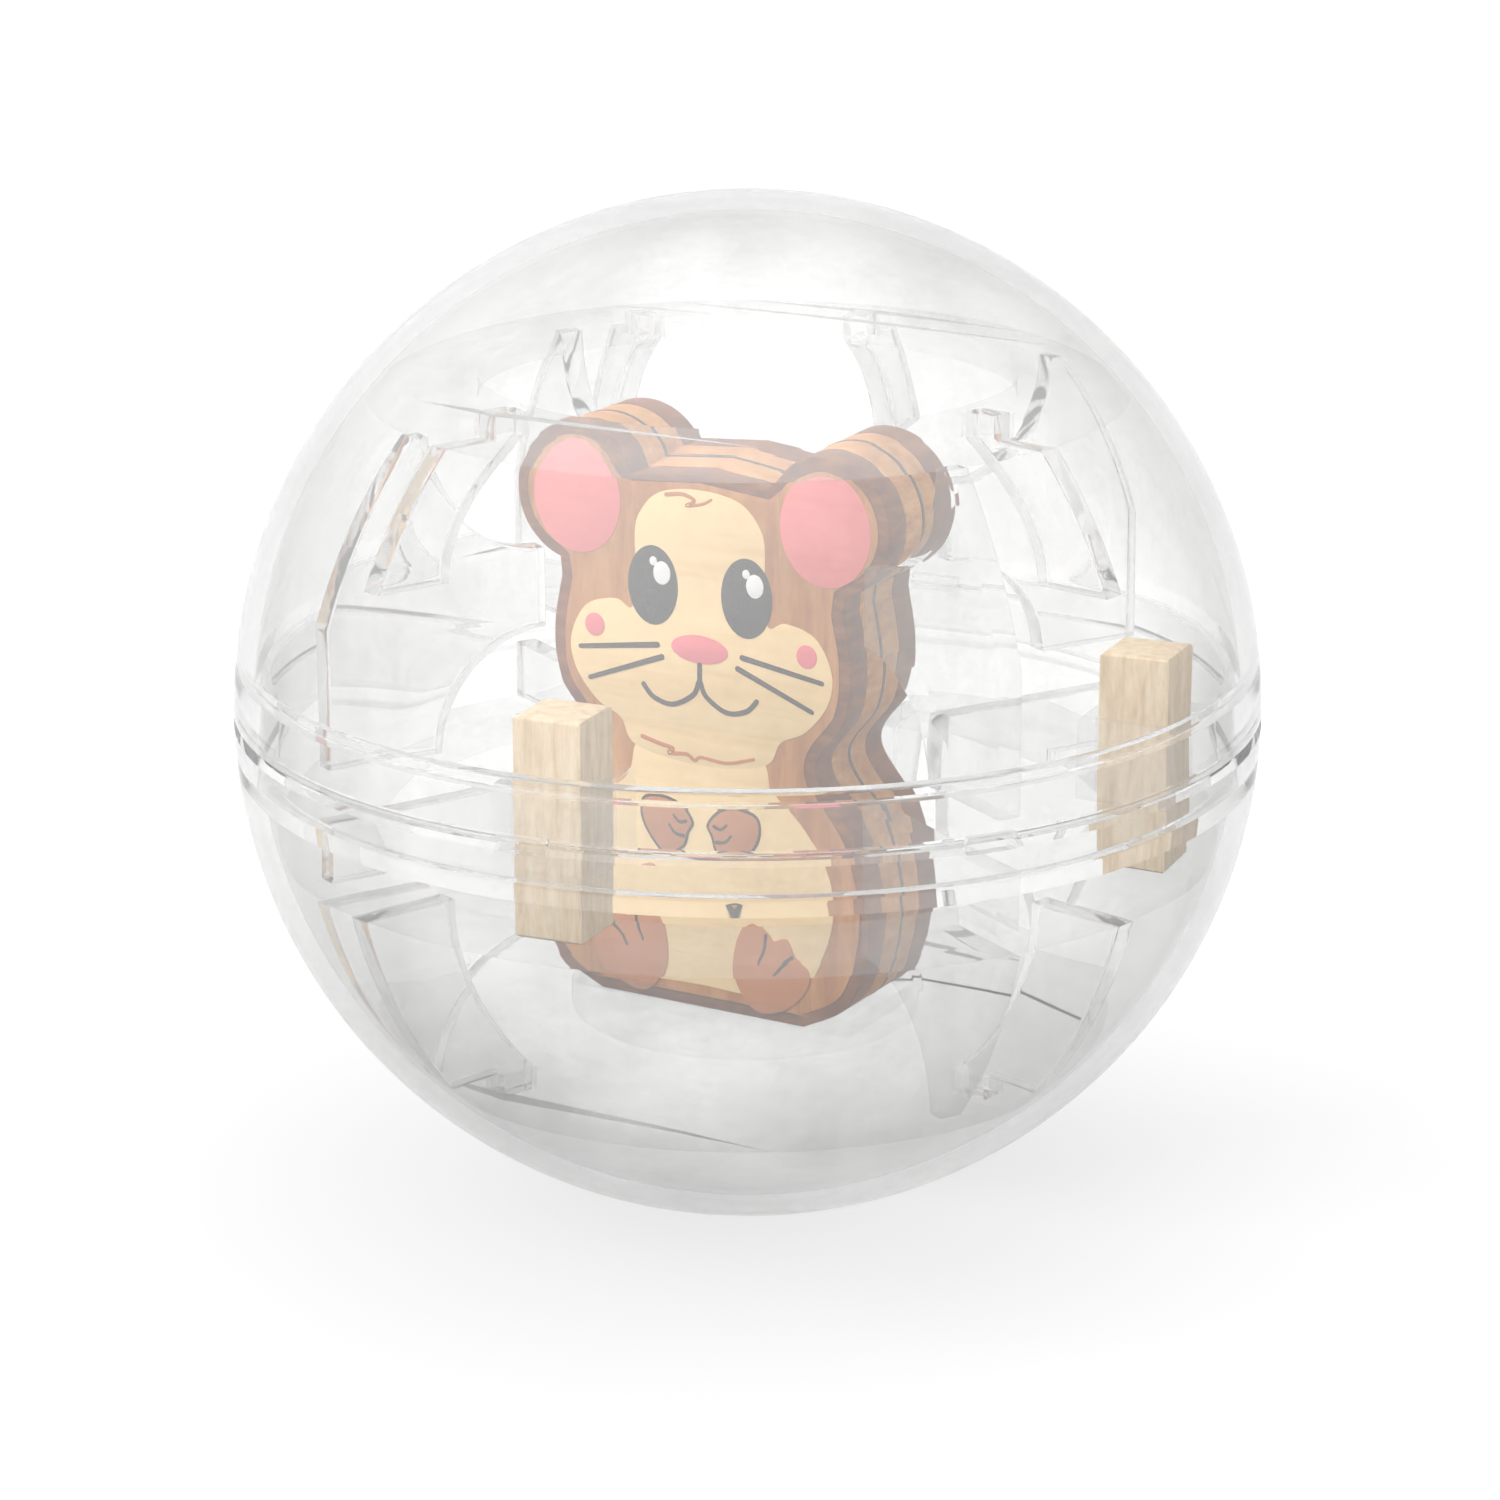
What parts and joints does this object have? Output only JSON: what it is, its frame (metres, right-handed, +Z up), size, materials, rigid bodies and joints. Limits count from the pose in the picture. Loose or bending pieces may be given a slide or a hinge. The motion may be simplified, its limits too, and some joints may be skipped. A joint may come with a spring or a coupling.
{
  "type": "maze ball puzzle",
  "caption": "Clear two-part maze ball with flat maze sheets inside, loose wooden pegs across the seam and a laminated wooden hamster standing in a central well.",
  "frame": {"origin": "centre of the flat foot, on the ground", "axes": "+Z up through the ball's pole; -Y is where the hamster faces; +X is to the hamster's own left"},
  "size_m": [0.12, 0.12, 0.1188],
  "materials": {
    "clear_shell": "clear moulded acrylic, slightly hazy",
    "clear_sheet": "clear cut acrylic sheet with polished edges",
    "peg_wood": "bare sanded pale wood",
    "dark_ply": "brown wood with scorched cut edges",
    "light_ply": "pale wood layer"
  },
  "bodies": {
    "lower_half": {"lower_shell": "clear_shell", "lower_deck": "clear_sheet", "lower_shelf": "clear_sheet", "hamster_stand": "clear_sheet", "lower_wall_1": "clear_sheet", "lower_wall_2": "clear_sheet", "lower_wall_3": "clear_sheet", "lower_wall_4": "clear_sheet", "lower_gusset_1": "clear_sheet", "lower_gusset_2": "clear_sheet", "lower_gusset_3": "clear_sheet", "lower_gusset_4": "clear_sheet"},
    "joining_ring": {"joining_ring": "clear_sheet"},
    "upper_half": {"upper_shell": "clear_shell", "upper_deck": "clear_sheet", "upper_wall_1": "clear_sheet", "upper_wall_2": "clear_sheet", "upper_wall_3": "clear_sheet", "upper_wall_4": "clear_sheet", "upper_gusset_1": "clear_sheet", "upper_gusset_2": "clear_sheet", "upper_gusset_3": "clear_sheet", "upper_gusset_4": "clear_sheet"},
    "peg_1": {"peg_1": "peg_wood"},
    "peg_2": {"peg_2": "peg_wood"},
    "hamster": {"hamster_front": "dark_ply", "hamster_front_core": "light_ply", "hamster_back_core": "light_ply", "hamster_back": "dark_ply"}
  },
  "joints": [
    {"name": "twist", "type": "hinge", "parent": "lower_half", "child": "joining_ring", "pos_m": [0, 0, 0.05879], "axis": [0, 0, 1], "range_deg": [-27, 47]},
    {"name": "upper_lift", "type": "slide", "parent": "joining_ring", "child": "upper_half", "axis": [0, 0, 1], "range_m": [0, 0.1]},
    {"name": "peg_1_rise", "type": "slide", "parent": "joining_ring", "child": "peg_1", "axis": [0, 0, 1], "range_m": [0, 0.008]},
    {"name": "peg_2_rise", "type": "slide", "parent": "joining_ring", "child": "peg_2", "axis": [0, 0, 1], "range_m": [0, 0.008]},
    {"name": "hamster_lift", "type": "slide", "parent": "lower_half", "child": "hamster", "axis": [0, 0, 1], "range_m": [0, 0.05]}
  ],
  "couplings": [
    {"joint": "hamster_lift", "follows": "upper_lift", "ratio": 0.5}
  ]
}
